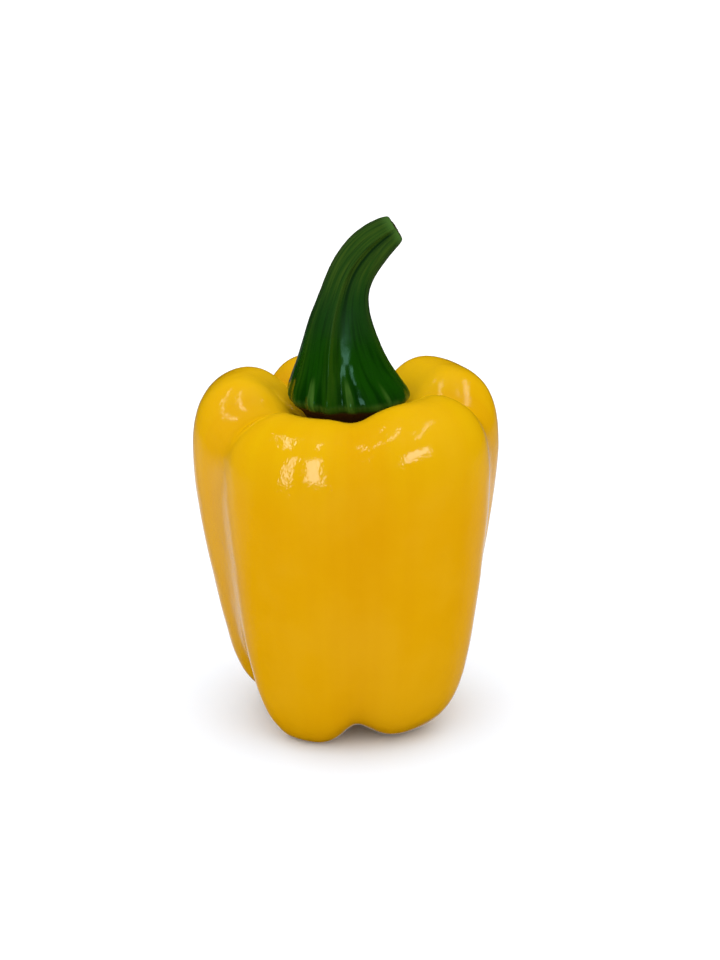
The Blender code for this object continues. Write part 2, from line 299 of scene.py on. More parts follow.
class FruitSettings(bpy.types.PropertyGroup):
    radius: FloatProperty(
        name="Radius", description="Half the width of the body", default=0.0405, min=0.02, unit="LENGTH")
    height: FloatProperty(
        name="Height", description="Height of the body, without its raised crests",
        default=0.0925, min=0.04, unit="LENGTH")
    columns: IntProperty(
        name="Columns", description="Faces round the body before they are split, a multiple of its grooves",
        default=80, min=20)
    rows: IntProperty(
        name="Rows", description="Faces from the blossom end to the hollow before they are split",
        default=55, min=20)
    swell: FloatProperty(
        name="Swell", description="Depth of the broad unevenness of the flesh",
        default=0.00045, min=0, unit="LENGTH")
    ripple: FloatProperty(
        name="Ripple", description="Depth of the small ripples that break up reflections",
        default=0.0001, min=0, unit="LENGTH")
    skin: FloatVectorProperty(
        name="Skin", description="Colour of the skin on the crown of a lobe",
        default=(0.625, 0.306, 0.0007), min=0, max=1, subtype="COLOR")
    # painted light from above: a paler colour that the skin takes towards the top
    painted_top_light: FloatVectorProperty(
        name="Crest skin", description="Colour of the skin round the top, which ripened less",
        default=(0.635, 0.363, 0.0012), min=0, max=1, subtype="COLOR")
    pale_skin: FloatVectorProperty(
        name="Pale skin", description="Colour of the lighter cloudy patches",
        default=(0.69, 0.365, 0.0010), min=0, max=1, subtype="COLOR")
    # warmer, darker skin: the streaks' own colour, and painted shade in the grooves
    streak_and_groove_shade_skin: FloatVectorProperty(
        name="Deep skin", description="Warmer colour of the skin in the grooves",
        default=(0.585, 0.265, 0.0006), min=0, max=1, subtype="COLOR")
    # painted light: a brighter colour that lifts the shade in the hollow under the calyx
    painted_hollow_light: FloatVectorProperty(
        name="Hollow skin", description="Colour of the skin under the calyx",
        default=(0.86, 0.51, 0.006), min=0, max=1, subtype="COLOR")
    scar: FloatVectorProperty(
        name="Scar", description="Colour of the corky scar at the blossom end",
        default=(0.16, 0.075, 0.02), min=0, max=1, subtype="COLOR")


class StemSettings(bpy.types.PropertyGroup):
    rim_height: FloatProperty(
        name="Rim height", description="Height of the calyx rim above the surface",
        default=0.0890, min=0.04, unit="LENGTH")
    columns: IntProperty(
        name="Columns", description="Faces round the stem before they are split, a multiple of its ribs",
        default=84, min=30)
    rows: IntProperty(
        name="Rows", description="Faces from under the calyx to the cut end before they are split",
        default=60, min=28)
    green: FloatVectorProperty(
        name="Green", description="Colour of the smooth faces",
        default=(0.0042, 0.040, 0.0005), min=0, max=1, subtype="COLOR")
    olive: FloatVectorProperty(
        name="Olive", description="Colour of the ribs along the stalk",
        default=(0.028, 0.066, 0.0026), min=0, max=1, subtype="COLOR")
    # painted shade: the colour of the hollows and of the furrows between flutes; the fine dark streaks use it
    # too
    shade: FloatVectorProperty(
        name="Shade", description="Colour at the bottom of the hollows",
        default=(0.0010, 0.017, 0.0002), min=0, max=1, subtype="COLOR")
    # painted highlight: the pale green of the lit flute crests and calyx rim, also the colour of the pale tip
    highlight_and_tip_green: FloatVectorProperty(
        name="Pale flute", description="Colour of the crests of the flutes and of the calyx rim",
        default=(0.045, 0.115, 0.015), min=0, max=1, subtype="COLOR")
    # dark brown under the calyx, and brown bark round the cut end
    bark: FloatVectorProperty(
        name="Bark", description="Colour under the calyx and round the cut end",
        default=(0.035, 0.014, 0.006), min=0, max=1, subtype="COLOR")


class StageSettings(bpy.types.PropertyGroup):
    floor_size: FloatProperty(
        name="Floor size", description="Width of the floor", default=6.0, min=1, unit="LENGTH")
    floor_colour: FloatVectorProperty(
        name="Floor", description="Colour of the floor",
        default=(0.93, 0.93, 0.93), min=0, max=1, subtype="COLOR")
    floor_near: FloatVectorProperty(
        name="Floor near the pepper", description="Cooler colour that offsets the yellow light on it",
        default=(0.86, 0.92, 1.00), min=0, max=1, subtype="COLOR")
    lens: FloatProperty(
        name="Lens", description="Focal length of the camera", default=85.0, min=10, unit="CAMERA")
    distance: FloatProperty(
        name="Distance", description="From the camera to the point it looks at",
        default=0.6085, min=0.2, unit="LENGTH")
    elevation: FloatProperty(
        name="Elevation", description="How far the camera looks down",
        default=math.radians(19), subtype="ANGLE")
    look_at: FloatVectorProperty(
        name="Look at", description="The point that the camera looks at",
        default=(0.0036, 0.0002, 0.0660), subtype="TRANSLATION")
    surround: FloatProperty(
        name="Surround", description="Brightness of the white surround", default=1.18, min=0)
    backdrop: FloatProperty(
        name="Backdrop", description="Brightness of the backdrop's sides in reflections", default=0.25, min=0)
    backdrop_centre: FloatProperty(
        name="Backdrop centre", description="How much brighter reflections see the middle of the backdrop",
        default=0.5, min=0)
    side_card: FloatProperty(
        name="Side card", description="Brightness of the card on the left in reflections",
        default=0.15, min=0)
    overhead: FloatProperty(
        name="Overhead", description="Power of the large light above", default=6.7, min=0, unit="POWER")


def smoother_step(x):
    return x**3 * (x * (6 * x - 15) + 10)


def softened(x, softness):
    """A ramp from 0 to 1 whose start is rounded off."""
    return (np.sqrt(x**2 + softness**2) - softness) / (np.sqrt(1 + softness**2) - softness)


def valley(away, steepness):
    """1 in a groove, falling to 0 at the crown of the lobe beside it."""
    return (1 - away) ** steepness * (1 + (steepness - CREASE_SLOPE) * away)


def sphere_places(points):
    """Turn round the axis (0 to 1 from the front) and rise (0 bottom pole, 1 top pole) of each point."""
    unit = points / np.linalg.norm(points, axis=1, keepdims=True)
    turn = np.degrees(np.arctan2(unit[:, 0], -unit[:, 1])) / 360 % 1
    rise = 1 - np.arccos(np.clip(unit[:, 2], -1, 1)) / math.pi
    return turn, rise


def sector_places(turn, count):
    """Which of the count sectors a point lies in, and how far across it from 0 to 1."""
    scaled = turn * count
    sector = np.minimum(np.floor(scaled).astype(int), count - 1)
    return sector, scaled - sector


def spline_weights(rise, count):
    """Index of the first of four rings, counted in a list with one more ring at each end, and weights."""
    place = rise * (count - 1)
    first = np.clip(np.floor(place).astype(int), 0, count - 2)
    t = place - first
    weights = [(1 - t) ** 3, 3 * t**3 - 6 * t**2 + 4, -3 * t**3 + 3 * t**2 + 3 * t + 1, t**3]
    return first, [w / 6 for w in weights]


def past_poles(rings):
    """The rings with their neighbours mirrored through each pole, which keeps the poles smooth."""
    before = rings[1]._replace(radius=-rings[1].radius)
    after = rings[-2]._replace(radius=-rings[-2].radius)
    return [before, *rings, after]


def groove_and_lobe_values(turn):
    """Azimuth in radians, and each groove's and lobe's values as they act at each point's azimuth."""
    count = len(GROOVES)
    sector, across = sector_places(turn, count)
    across = across - COLUMN_CROWDING * np.sin(2 * np.pi * across) / (2 * np.pi)
    starts = np.array([g.at for g in GROOVES] + [GROOVES[0].at + 360], float)
    widths = np.diff(starts)
    azimuth = np.radians(starts[sector] + widths[sector] * across)
    side_of_crown = 2 * across - 1
    groove = np.where(side_of_crown < 0, sector, (sector + 1) % count)
    of_groove = {name: np.array([getattr(g, name) for g in GROOVES])[groove] for name in Groove._fields}
    from_groove = 1 - np.abs(side_of_crown)
    away = softened(from_groove, of_groove["soft"])
    away_broad = softened(from_groove, of_groove["broad"])
    flank = valley(away, FLANK_STEEPNESS)
    broad_flank = valley(away_broad, FLANK_STEEPNESS)
    saddle = valley((away + away_broad) / 2, CREST_STEEPNESS)
    other = np.where(side_of_crown < 0, (sector - 1) % count, (sector + 1) % count)
    share = np.abs(side_of_crown) * widths[sector] / (widths[sector] + widths[other])
    mix = smoother_step(share)
    values = {"azimuth": azimuth, "flank": flank}
    values["side"] = of_groove["side"] * flank
    values["broad_side"] = of_groove["side"] * broad_flank
    values["dip"] = of_groove["dip"] * saddle
    values["notch"] = of_groove["notch"] * valley(away, NOTCH_STEEPNESS)
    for name in Lobe._fields:
        of_lobe = np.array([getattr(lobe, name) for lobe in LOBES])
        values[name] = of_lobe[sector] * (1 - mix) + of_lobe[other] * mix
    return values


def fruit_surface(turn, rise, settings):
    at = groove_and_lobe_values(turn)
    rings = past_poles(FRUIT_RINGS)
    ring = {name: np.array([getattr(r, name) for r in rings]) for name in FruitRing._fields}
    first, weights = spline_weights(rise, len(FRUIT_RINGS))
    radius = np.zeros_like(turn)
    height = np.zeros_like(turn)
    for step, weight in enumerate(weights):
        k = first + step
        breadth = at["girth"] * (1 - ring["heel"][k]) + at["heel"] * ring["heel"][k]
        side = at["side"] * (1 - ring["broad"][k]) + at["broad_side"] * ring["broad"][k]
        radius += weight * ring["radius"][k] * breadth * (1 - ring["side"][k] * side)
        lift = ring["notch"][k] * at["notch"] - ring["dip"][k] * at["dip"]
        lift += ring["crest"][k] * at["crest"] + ring["foot"][k] * at["foot"]
        height += weight * (settings.height * ring["height"][k] + lift)
    radius *= settings.radius
    # the skin lies flat where it carries the weight
    height = np.maximum(height, 0)
    points = np.stack([radius * np.sin(at["azimuth"]), -radius * np.cos(at["azimuth"]), height], 1)
    return points, at["flank"]


def stem_frames(rings, rim_height):
    """Centre of each ring, and the matrix that turns a level ring square to the stalk."""
    centres = np.array([(r.x, r.y, rim_height + r.lift) for r in rings])
    end_direction = centres[-CUT_END_RINGS] - centres[-CUT_END_RINGS - 1]
    frames = []
    for k in range(len(rings)):
        direction = np.array((0.0, 0.0, 1.0))
        if k >= len(rings) - CUT_END_RINGS:
            direction = end_direction
        elif k > LAST_LEVEL_RING:
            direction = centres[k + 1] - centres[k - 1]
        turn = Vector((0, 0, 1)).rotation_difference(Vector(direction))
        frames.append(np.array(turn.to_matrix()))
    return centres, np.array(frames)


def flute_waves(azimuth):
    """Uneven flutes round the calyx: 1 on the highest crest, less than 0 between crests."""
    strength = FLUTE_MEAN + (1 - FLUTE_MEAN) * np.cos(2 * (azimuth - math.radians(FLUTED_SIDE)))
    return strength * sum(w.share * np.cos(w.count * (azimuth - math.radians(w.crest))) for w in FLUTE_WAVES)


def rib_values(up):
    """Each rib's azimuth, then its hollow's depth and lean, a share of the way up the stem."""
    starts = np.array([r.at_rim + (r.at_end - r.at_rim) * up for r in RIBS])
    deep = np.array([r.deep_rim + (r.deep_end - r.deep_rim) * up for r in RIBS])
    lean = np.array([r.lean_rim + (r.lean_end - r.lean_rim) * up for r in RIBS])
    return np.append(starts, starts[0] + 360), deep, lean


def stem_surface(turn, rise, settings):
    """The points, and three masks: olive on the ribs, painted shade in the hollows, and the flutes (-1 to 1)
    for painted highlights on their crests and painted shade between them.
    """
    sector, across = sector_places(turn, len(RIBS))
    rings = past_poles(STEM_RINGS)
    centres, frames = stem_frames(rings, settings.rim_height)
    stalk_height = max(r.lift for r in rings)
    first, weights = spline_weights(rise, len(STEM_RINGS))
    starts = rib_values(0.0)[0]
    flute = flute_waves(np.radians(starts[sector] + np.diff(starts)[sector] * across))
    points = np.zeros((len(turn), 3))
    shade = np.zeros(len(turn))
    for k, ring in enumerate(rings):
        starts, deep, lean = rib_values(min(max(ring.lift / stalk_height, 0), 1))
        leaned = across * (1 + lean[sector]) / (1 + lean[sector] * across)
        away = softened(1 - np.abs(2 * leaned - 1), RIB_SOFTNESS)
        hollow = deep[sector] * away * (2 - away)
        azimuth = np.radians(starts[sector] + np.diff(starts)[sector] * across)
        radius = ring.radius * (1 - ring.depth * hollow) + ring.flute * flute
        level = np.stack([radius * np.sin(azimuth), -radius * np.cos(azimuth), np.zeros_like(radius)], 1)
        placed = centres[k] + level @ frames[k].T
        for step, weight in enumerate(weights):
            here = first + step == k
            points[here] += weight[here, None] * placed[here]
            shade[here] += weight[here] * np.minimum(deep[sector[here]], 1) * away[here] ** 2
    olive_from = np.array([r.olive for r in RIBS])
    olive_from = olive_from[sector] * (1 - across) + np.roll(olive_from, -1)[sector] * across
    upper = smoother_step(np.clip((rise - olive_from) / OLIVE_FADE + 0.5, 0, 1))
    out_of_hollow = smoother_step(np.clip((1 - shade) * 2, 0, 1))
    near_rib = np.abs(2 * across - 1) ** STRIPE_STEEPNESS
    olive = np.maximum(out_of_hollow * upper, STRIPE_SHARE * near_rib)
    flutes = np.clip(FLUTE_CONTRAST * flute, -1, 1) * np.clip((FLUTE_TOP - rise) / FLUTE_FADE, 0, 1)
    return points, olive, shade, flutes


def read_points(mesh):
    points = np.empty(len(mesh.vertices) * 3)
    mesh.vertices.foreach_get("co", points)
    return points.reshape(-1, 3)


def write_points(mesh, points):
    mesh.vertices.foreach_set("co", points.ravel())
    mesh.update()


def store_mask(mesh, name, values):
    mesh.attributes.new(name, "FLOAT", "POINT").data.foreach_set("value", values.astype(np.float32))


def store_grain(mesh, turn, rise):
    """Coordinates that run round and along the piece with no seam, for streaks that follow its growth."""
    angle = 2 * np.pi * turn
    grain = np.stack([np.sin(angle), -np.cos(angle), rise], 1).astype(np.float32)
    mesh.attributes.new(GRAIN, "FLOAT_VECTOR", "POINT").data.foreach_set("vector", grain.ravel())


def apply_modifier(piece, modifier):
    bpy.ops.object.select_all(action="DESELECT")
    piece.select_set(True)
    bpy.context.view_layer.objects.active = piece
    bpy.ops.object.modifier_apply(modifier=modifier.name)


def add_sphere(name, columns, rows, radius):
    """A sphere whose faces are split, each time into four, without rounding."""
    bpy.ops.object.select_all(action="DESELECT")
    bpy.ops.mesh.primitive_uv_sphere_add(segments=columns, ring_count=rows, radius=radius)
    sphere = bpy.context.active_object
    sphere.name = name
    sphere.data.name = name
    split = sphere.modifiers.new("split", "SUBSURF")
    split.subdivision_type = "SIMPLE"
    split.levels = split.render_levels = SPLITS
    apply_modifier(sphere, split)
    return sphere


def centre_in_frame(points, node):
    """Shift the points sideways so that the middle of their box lies over that of the frame's solid."""
    low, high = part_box(node)
    shift = np.array((low + high) / 2) - (points.min(0) + points.max(0)) / 2
    shift[2] = 0
    return points + shift


def rest_on(points, support):
    """Lift the points that would enter the support until they clear it."""
    surface = BVHTree.FromObject(support, bpy.context.evaluated_depsgraph_get())
    above = 2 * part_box("fruit")[1].z
    for point in points:
        hit = surface.ray_cast(Vector((point[0], point[1], above)), Vector((0, 0, -1)))[0]
        if hit and point[2] < hit.z + CALYX_GAP:
            point[2] = hit.z + CALYX_GAP
    return points


def weigh_points(piece, name, weights):
    group = piece.vertex_groups.new(name=name)
    levels = np.round(np.clip(weights, 0, 1), 2)
    for level in np.unique(levels[levels > 0]):
        group.add(np.nonzero(levels == level)[0].tolist(), float(level), "REPLACE")
    return group.name


def press_in(piece, name, grain_size, depth, where):
    """Press an uneven pattern into the surface: nothing stands proud of the smooth shape."""
    pattern = bpy.data.textures.new(name, "CLOUDS")
    pattern.noise_scale = grain_size
    pattern.noise_depth = 1
    displace = piece.modifiers.new(name, "DISPLACE")
    displace.texture = pattern
    displace.strength = depth
    displace.mid_level = 1.0
    displace.vertex_group = where
    apply_modifier(piece, displace)


def settle(piece, node, material):
    piece.data.materials.clear()
    piece.data.materials.append(material)
    bpy.ops.object.select_all(action="DESELECT")
    piece.select_set(True)
    bpy.context.view_layer.objects.active = piece
    bpy.ops.object.shade_smooth()
    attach(piece, "root")
    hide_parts(node)


def add_node(tree, kind, at, inputs=None, **values):
    node = tree.nodes.new(kind)
    node.location = at
    for name, value in values.items():
        setattr(node, name, value)
    for name, value in (inputs or {}).items():
        node.inputs[name].default_value = value
    return node


def feed(tree, target, source):
    """Give an input a constant, or join it to another node's output."""
    if isinstance(source, bpy.types.NodeSocket):
        tree.links.new(source, target)
    else:
        target.default_value = source


def calculate(tree, at, operation, first, second=0.0):
    node = add_node(tree, "ShaderNodeMath", at, operation=operation)
    feed(tree, node.inputs[0], first)
    feed(tree, node.inputs[1], second)
    return node.outputs[0]


def between(tree, at, value, low, high, to_low=0.0, to_high=1.0):
    """The value's place between low and high, eased at both ends, as a place between two others."""
    node = add_node(tree, "ShaderNodeMapRange", at, interpolation_type="SMOOTHSTEP")
    feed(tree, node.inputs["Value"], value)
    for name, limit in zip(("From Min", "From Max", "To Min", "To Max"), (low, high, to_low, to_high)):
        node.inputs[name].default_value = limit
    return node.outputs["Result"]


def blend_colour(tree, at, factor, low, high):
    node = add_node(tree, "ShaderNodeMix", at, data_type="RGBA")
    factor_in, low_in, high_in = node.inputs[0], node.inputs[6], node.inputs[7]
    feed(tree, factor_in, factor)
    feed(tree, low_in, low if isinstance(low, bpy.types.NodeSocket) else (*low, 1.0))
    feed(tree, high_in, high if isinstance(high, bpy.types.NodeSocket) else (*high, 1.0))
    return node.outputs[2]


def band(tree, at, value, start, end):
    """1 inside a band that sets in between the two values of start and fades between those of end."""
    x, y = at
    return calculate(tree, at, "MULTIPLY", between(tree, (x - 200, y), value, *start),
                     between(tree, (x - 200, y - 150), value, *end))


def noise(tree, at, vector, scale, detail=2.0, roughness=0.5):
    node = add_node(tree, "ShaderNodeTexNoise", at, {"Detail": detail, "Roughness": roughness})
    feed(tree, node.inputs["Vector"], vector)
    feed(tree, node.inputs["Scale"], scale)
    return node.outputs["Fac"]


def read_attribute(tree, at, name, output="Fac"):
    return add_node(tree, "ShaderNodeAttribute", at, attribute_name=name).outputs[output]


def stretched_grain(tree, at, amounts):
    """The piece's growth coordinates, multiplied so that a noise on them runs into streaks."""
    node = add_node(tree, "ShaderNodeVectorMath", at, operation="MULTIPLY")
    feed(tree, node.inputs[0], read_attribute(tree, (at[0] - 200, at[1]), GRAIN, "Vector"))
    node.inputs[1].default_value = amounts
    return node.outputs[0]


def relief_group():
    """Fine relief that both finishes share: pores and small ripples as a height, and slow mottling."""
    name = "grown_relief"
    if name in bpy.data.node_groups:
        return bpy.data.node_groups[name]
    group = bpy.data.node_groups.new(name, "ShaderNodeTree")
    sockets = group.interface
    sockets.new_socket("Vector", in_out="INPUT", socket_type="NodeSocketVector")
    for socket, default in (("Pore Scale", 1500.0), ("Ripple Scale", 220.0), ("Mottle Scale", 60.0),
                            ("Ripple Share", 0.6)):
        sockets.new_socket(socket, in_out="INPUT", socket_type="NodeSocketFloat").default_value = default
    for socket in ("Height", "Mottle"):
        sockets.new_socket(socket, in_out="OUTPUT", socket_type="NodeSocketFloat")
    start = add_node(group, "NodeGroupInput", (-900, 0)).outputs
    end = add_node(group, "NodeGroupOutput", (300, 0)).inputs
    pores = noise(group, (-600, 200), start["Vector"], start["Pore Scale"], 1.0)
    ripples = noise(group, (-600, 0), start["Vector"], start["Ripple Scale"], 1.0)
    mottle = noise(group, (-600, -250), start["Vector"], start["Mottle Scale"], 3.0, 0.6)
    height = add_node(group, "ShaderNodeMix", (-200, 100))
    feed(group, height.inputs[0], start["Ripple Share"])
    feed(group, height.inputs[2], pores)
    feed(group, height.inputs[3], ripples)
    feed(group, end["Height"], height.outputs[0])
    feed(group, end["Mottle"], between(group, (-200, -250), mottle, 0.3, 0.7))
    return group


def add_relief(tree, at, **values):
    """The shared relief on the piece's own coordinates, in metres."""
    place = add_node(tree, "ShaderNodeTexCoord", (at[0] - 200, at[1])).outputs["Object"]
    node = add_node(tree, "ShaderNodeGroup", at, node_tree=relief_group())
    feed(tree, node.inputs["Vector"], place)
    for name, value in values.items():
        node.inputs[name.replace("_", " ").title()].default_value = value
    return place, node.outputs["Height"], node.outputs["Mottle"]


def new_finish(name):
    material = bpy.data.materials.new(name)
    material.use_nodes = True
    tree = material.node_tree
    return material, tree, tree.nodes["Principled BSDF"].inputs


def add_bump(tree, at, height, strength, distance):
    node = add_node(tree, "ShaderNodeBump", at, {"Strength": strength, "Distance": distance})
    feed(tree, node.inputs["Height"], height)
    return node.outputs["Normal"]


def skin_finish(settings):
    """Waxy yellow skin: warmer, darker painted shade in the grooves, painted light on the top and in the
    hollow, corky underneath.
    """
    material, tree, shader = new_finish("waxy_yellow_skin")
    place, height, mottle = add_relief(
        tree, (-1400, 0), pore_scale=1500.0, ripple_scale=420.0, mottle_scale=45.0)
    rise = read_attribute(tree, (-1400, -300), RISE)
    groove = read_attribute(tree, (-1400, -450), GROOVE_MASK)
    grain = stretched_grain(tree, (-1200, -600), SKIN_GRAIN)
    streaks = between(
        tree, (-1000, -600), noise(tree, (-1100, -600), grain, 1.2, 2.0), 0.35, 0.75, 0.0, STREAK_WARMTH)

    # painted light from above: the skin turns paler towards the top
    top = between(tree, (-800, 0), rise, *TOP_LIGHT_RISES)
    colour = blend_colour(tree, (-600, 200), top, settings.skin, settings.painted_top_light)
    # painted shade: the grooves darken towards the warmer, darker skin, as the random streaks do
    groove_shade = calculate(tree, (-800, -450), "MULTIPLY", groove, GROOVE_SHADE)
    streaks_and_groove_shade = calculate(tree, (-600, -400), "ADD", streaks, groove_shade)
    colour = blend_colour(tree, (-400, 200), streaks_and_groove_shade, colour, settings.streak_and_groove_shade_skin)
    clouds = calculate(tree, (-400, 0), "MULTIPLY", mottle, CLOUD_SHARE)
    colour = blend_colour(tree, (-200, 200), clouds, colour, settings.pale_skin)
    # painted light that lifts the shade in the hollow under the calyx
    hollow = between(tree, (-400, -150), rise, *HOLLOW_LIGHT_RISES, 0.0, HOLLOW_LIGHT_SHARE)
    colour = blend_colour(tree, (0, 200), hollow, colour, settings.painted_hollow_light)
    stray = between(
        tree, (-600, -700), noise(tree, (-800, -700), place, 500.0), 0.0, 1.0, -SCAR_STRAY, SCAR_STRAY)
    scar = between(tree, (-200, -700), calculate(tree, (-400, -700), "ADD", rise, stray), *SCAR_EDGE)
    colour = blend_colour(tree, (200, 200), scar, colour, settings.scar)
    feed(tree, shader["Base Color"], colour)

    polish = between(tree, (-200, 0), mottle, 0.0, 1.0, *SKIN_ROUGHNESS)
    feed(tree, shader["Roughness"], calculate(tree, (0, 0), "MAXIMUM", polish, scar))
    feed(tree, shader["Normal"], add_bump(tree, (200, -400), height, *SKIN_BUMP))
    return material


def stem_finish(settings):
    """Green stalk: olive ribs, painted shade in the hollows and between the flutes, painted highlights on the
    flute crests and the calyx rim, a pale tip, brown under the calyx and at the cut.
    """
    material, tree, shader = new_finish("glossy_green_stem")
    place, height, mottle = add_relief(
        tree, (-1400, 0), pore_scale=2200.0, ripple_scale=500.0, mottle_scale=160.0)
    rise = read_attribute(tree, (-1400, -300), RISE)
    ridge = read_attribute(tree, (-1400, -450), OLIVE_MASK)
    flute = read_attribute(tree, (-1400, -750), FLUTE_MASK)
    deep = read_attribute(tree, (-1400, -900), SHADE_MASK)
    grain = stretched_grain(tree, (-1200, -600), STEM_GRAIN)
    streaks = between(
        tree, (-900, -600), noise(tree, (-1100, -600), grain, 2.0, 3.0, 0.6), 0.35, 0.65, 0.25, 1.0)
    fine = between(
        tree, (-900, -750), noise(tree, (-1100, -750), grain, 3.5, 2.0), 0.45, 0.75, 0.0, FINE_STREAK_SHARE)

    olive = calculate(tree, (-600, -450), "MULTIPLY", ridge, streaks)
    colour = blend_colour(tree, (-400, 300), olive, settings.green, settings.olive)
    colour = blend_colour(tree, (-300, 300), fine, colour, settings.shade)
    # painted shade in the hollows of the upper stalk and in the furrows between the flutes
    hollow_shade = calculate(tree, (-400, -250), "MULTIPLY", between(tree, (-600, -250), deep, 0.40, 0.85),
                     between(tree, (-600, -350), rise, *DARK_HOLLOWS, 0.1, 0.8))
    furrow_shade = between(tree, (-600, -1200), flute, 0.0, -0.5, 0.0, FURROW_SHADE_SHARE)
    shaded = calculate(tree, (-300, -400), "MAXIMUM", hollow_shade, furrow_shade)
    colour = blend_colour(tree, (-200, 300), shaded, colour, settings.shade)

    # painted highlights on the flute crests and on the calyx rim, together with the pale tip
    crest = between(tree, (-600, -750), flute, 0.10, 0.60)
    crest = calculate(tree, (-500, -750), "MULTIPLY", crest, FLUTE_HIGHLIGHT_SHARE)
    rim = band(tree, (-600, -900), rise, RIM_HIGHLIGHT_START, RIM_HIGHLIGHT_END)
    rim = calculate(tree, (-500, -900), "MULTIPLY", rim, RIM_HIGHLIGHT_SHARE)
    tip = band(tree, (-500, -1050), rise, TIP_START, TIP_END)
    tip = calculate(tree, (-400, -1050), "MULTIPLY", tip, TIP_SHARE)
    highlights_and_tip = calculate(tree, (-400, -750), "MAXIMUM", crest, rim)
    highlights_and_tip = calculate(tree, (-300, -750), "MULTIPLY", highlights_and_tip, streaks)
    highlights_and_tip = calculate(tree, (-200, -750), "MAXIMUM", highlights_and_tip, tip)
    colour = blend_colour(tree, (-100, 300), highlights_and_tip, colour, settings.highlight_and_tip_green)

    # dark brown under the calyx, and brown in patches round the cut end
    under = between(tree, (-400, -100), rise, *UNDER_EDGE)
    cut = calculate(tree, (-300, -250), "MULTIPLY", between(tree, (-400, -250), rise, *CUT_EDGE), mottle)
    bark = calculate(tree, (-200, -150), "MAXIMUM", under, cut)
    colour = blend_colour(tree, (0, 300), bark, colour, settings.bark)
    feed(tree, shader["Base Color"], colour)

    polish = calculate(tree, (-100, 0), "ADD", between(tree, (-200, 0), mottle, 0.0, 1.0, *STEM_ROUGHNESS),
                       between(tree, (-200, 100), rise, *DULL_STALK, 0.0, STALK_DULLNESS))
    dull_bark = calculate(tree, (-200, -50), "MULTIPLY", bark, BARK_DULLNESS)
    dull = calculate(tree, (-100, -100), "MAXIMUM", dull_bark, hollow_shade)
    feed(tree, shader["Roughness"], calculate(tree, (0, 0), "MAXIMUM", polish, dull))
    shader["Specular IOR Level"].default_value = STEM_SPECULAR
    feed(tree, shader["Normal"], add_bump(tree, (200, -400), height, *STEM_BUMP))
    return material


def add_floor(settings):
    bpy.ops.object.select_all(action="DESELECT")
    bpy.ops.mesh.primitive_plane_add(size=settings.floor_size)
    floor = bpy.context.active_object
    floor.name = "floor"
    material, tree, shader = new_finish("pale_floor")
    place = add_node(tree, "ShaderNodeTexCoord", (-800, 0)).outputs["Object"]
    distance = add_node(tree, "ShaderNodeVectorMath", (-600, 0), operation="LENGTH")
    feed(tree, distance.inputs[0], place)
    away = between(tree, (-400, 0), distance.outputs["Value"], *NEAR_FLOOR)
    colour = blend_colour(tree, (-200, 0), away, settings.floor_near, settings.floor_colour)
    feed(tree, shader["Base Color"], colour)
    shader["Roughness"].default_value = 0.9
    shader["Specular IOR Level"].default_value = 0.0
    floor.data.materials.append(material)
    floor.visible_glossy = False


def set_surround(scene, settings):
    """White all round; reflections see only a low backdrop behind the pepper and a card on the left."""
    world = bpy.data.worlds.new("white_surround")
    world.use_nodes = True
    scene.world = world
    tree = world.node_tree
    direction = add_node(tree, "ShaderNodeTexCoord", (-1200, 0)).outputs["Generated"]
    way = add_node(tree, "ShaderNodeSeparateXYZ", (-1000, 0))
    feed(tree, way.inputs[0], direction)
    back, up = way.outputs["Y"], way.outputs["Z"]
    sides = between(tree, (-800, 100), back, *BACKDROP_SIDES, 0.0, settings.backdrop)
    middle = between(tree, (-800, 0), back, *BACKDROP_MIDDLE, 0.0, settings.backdrop_centre)
    middle = calculate(tree, (-700, 0), "MULTIPLY", middle, between(tree, (-800, -250), up, *MIDDLE_TOP))
    behind = calculate(tree, (-650, 50), "ADD", sides, middle)
    leftward = add_node(tree, "ShaderNodeVectorMath", (-1000, 250), operation="DOT_PRODUCT")
    feed(tree, leftward.inputs[0], direction)
    leftward.inputs[1].default_value = CARD_WAY
    beside = between(tree, (-800, 250), leftward.outputs["Value"], *CARD_SPREAD, 0.0, settings.side_card)
    bright = calculate(tree, (-500, 150), "ADD", behind, beside)
    low = band(tree, (-650, -150), up, SURROUND_TOP, SURROUND_FOOT)
    backdrop = calculate(tree, (-350, 0), "MULTIPLY", bright, low)
    ray = add_node(tree, "ShaderNodeLightPath", (-600, 400)).outputs["Is Glossy Ray"]
    shine = add_node(tree, "ShaderNodeMix", (-200, 100))
    feed(tree, shine.inputs[0], ray)
    feed(tree, shine.inputs[2], settings.surround)
    feed(tree, shine.inputs[3], backdrop)
    background = tree.nodes["Background"]
    background.inputs["Color"].default_value = (1.0, 1.0, 1.0, 1.0)
    feed(tree, background.inputs["Strength"], shine.outputs[0])


def aim(item, target):
    """Turn a light or the camera towards the target."""
    way = Vector(target) - item.location
    item.rotation_euler = way.to_track_quat("-Z", "Y").to_euler()


def add_area_light(name, place, size, power):
    bpy.ops.object.light_add(type="AREA", location=place)
    light = bpy.context.active_object
    light.name = name
    light.data.shape = "RECTANGLE"
    light.data.size, light.data.size_y = size
    light.data.energy = power
    light.visible_camera = False
    return light


def add_overhead(settings):
    """The one light that shines on everything; reflections don't see it."""
    light = add_area_light("overhead", OVERHEAD_PLACE, OVERHEAD_SIZE, settings.overhead)
    light.visible_glossy = False
    aim(light, AIM)


